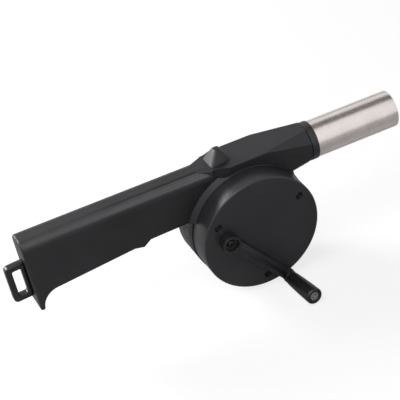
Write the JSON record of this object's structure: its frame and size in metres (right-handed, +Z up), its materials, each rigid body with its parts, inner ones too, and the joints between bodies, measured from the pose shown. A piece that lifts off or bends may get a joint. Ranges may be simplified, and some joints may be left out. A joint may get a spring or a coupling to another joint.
{
  "type": "hand crank forge blower",
  "caption": "Hand-held crank blower for a forge or grill: flat handle with a hanging loop, round fan drum with gear cover and crank, nozzle housing and steel blow tube.",
  "frame": {"origin": "centre of the outlet mouth, on the blow tube's axis", "axes": "+X the way the air leaves, +Z up with the drum hanging below the tube, crank on the -Y side, case halves meet at Y = 0"},
  "size_m": [0.2718, 0.0739, 0.098],
  "materials": {
    "case_plastic": "moulded ABS with a satin face",
    "loop_plastic": "moulded, smooth",
    "crank_plastic": "moulded, smooth satin",
    "knob_plastic": "moulded, smooth satin",
    "tube_steel": "rolled stainless tube, satin",
    "shaft_steel": "ground bar",
    "screw_steel": "zinc plated",
    "gear_plastic": "moulded acetal",
    "fan_plastic": "moulded",
    "bush_brass": "sintered, oiled"
  },
  "bodies": {
    "case": {"front_shell": "case_plastic", "rear_shell": "case_plastic", "gear_cover": "case_plastic", "nozzle_collar": "case_plastic", "blow_tube": "tube_steel", "hang_loop": "loop_plastic", "crank_bush": "bush_brass", "front_fan_bush": "bush_brass", "rear_fan_bush": "bush_brass", "first_axle": "shaft_steel", "second_axle": "shaft_steel", "cover_screws": "screw_steel", "handle_screws": "screw_steel"},
    "crank": {"crank_arm": "crank_plastic", "crank_screw": "screw_steel", "crank_shaft": "shaft_steel", "crank_gear": "gear_plastic", "knob_screw": "screw_steel"},
    "knob": {"crank_knob": "knob_plastic"},
    "first_wheel": {"first_gear": "gear_plastic"},
    "second_wheel": {"second_gear": "gear_plastic"},
    "fan": {"fan_pinion": "gear_plastic", "fan_shaft": "shaft_steel", "impeller": "fan_plastic"}
  },
  "joints": [
    {"name": "crank_spin", "type": "hinge", "parent": "case", "child": "crank", "pos_m": [-0.1359, -0.03, -0.0291], "axis": [0, -1, 0], "continuous": true},
    {"name": "knob_spin", "type": "hinge", "parent": "crank", "child": "knob", "pos_m": [-0.09926, -0.0331, -0.07276], "axis": [0.0801, -0.9945, 0.0672], "continuous": true},
    {"name": "first_spin", "type": "hinge", "parent": "case", "child": "first_wheel", "pos_m": [-0.12408, -0.016, -0.02702], "axis": [0, -1, 0], "continuous": true},
    {"name": "second_spin", "type": "hinge", "parent": "case", "child": "second_wheel", "pos_m": [-0.11008, -0.012, -0.01773], "axis": [0, -1, 0], "continuous": true},
    {"name": "fan_spin", "type": "hinge", "parent": "case", "child": "fan", "pos_m": [-0.1122, -0.005, -0.0344], "axis": [0, -1, 0], "continuous": true}
  ],
  "couplings": [
    {"joint": "first_spin", "follows": "crank_spin", "ratio": -2},
    {"joint": "second_spin", "follows": "crank_spin", "ratio": 6.4},
    {"joint": "fan_spin", "follows": "crank_spin", "ratio": -20.48}
  ]
}
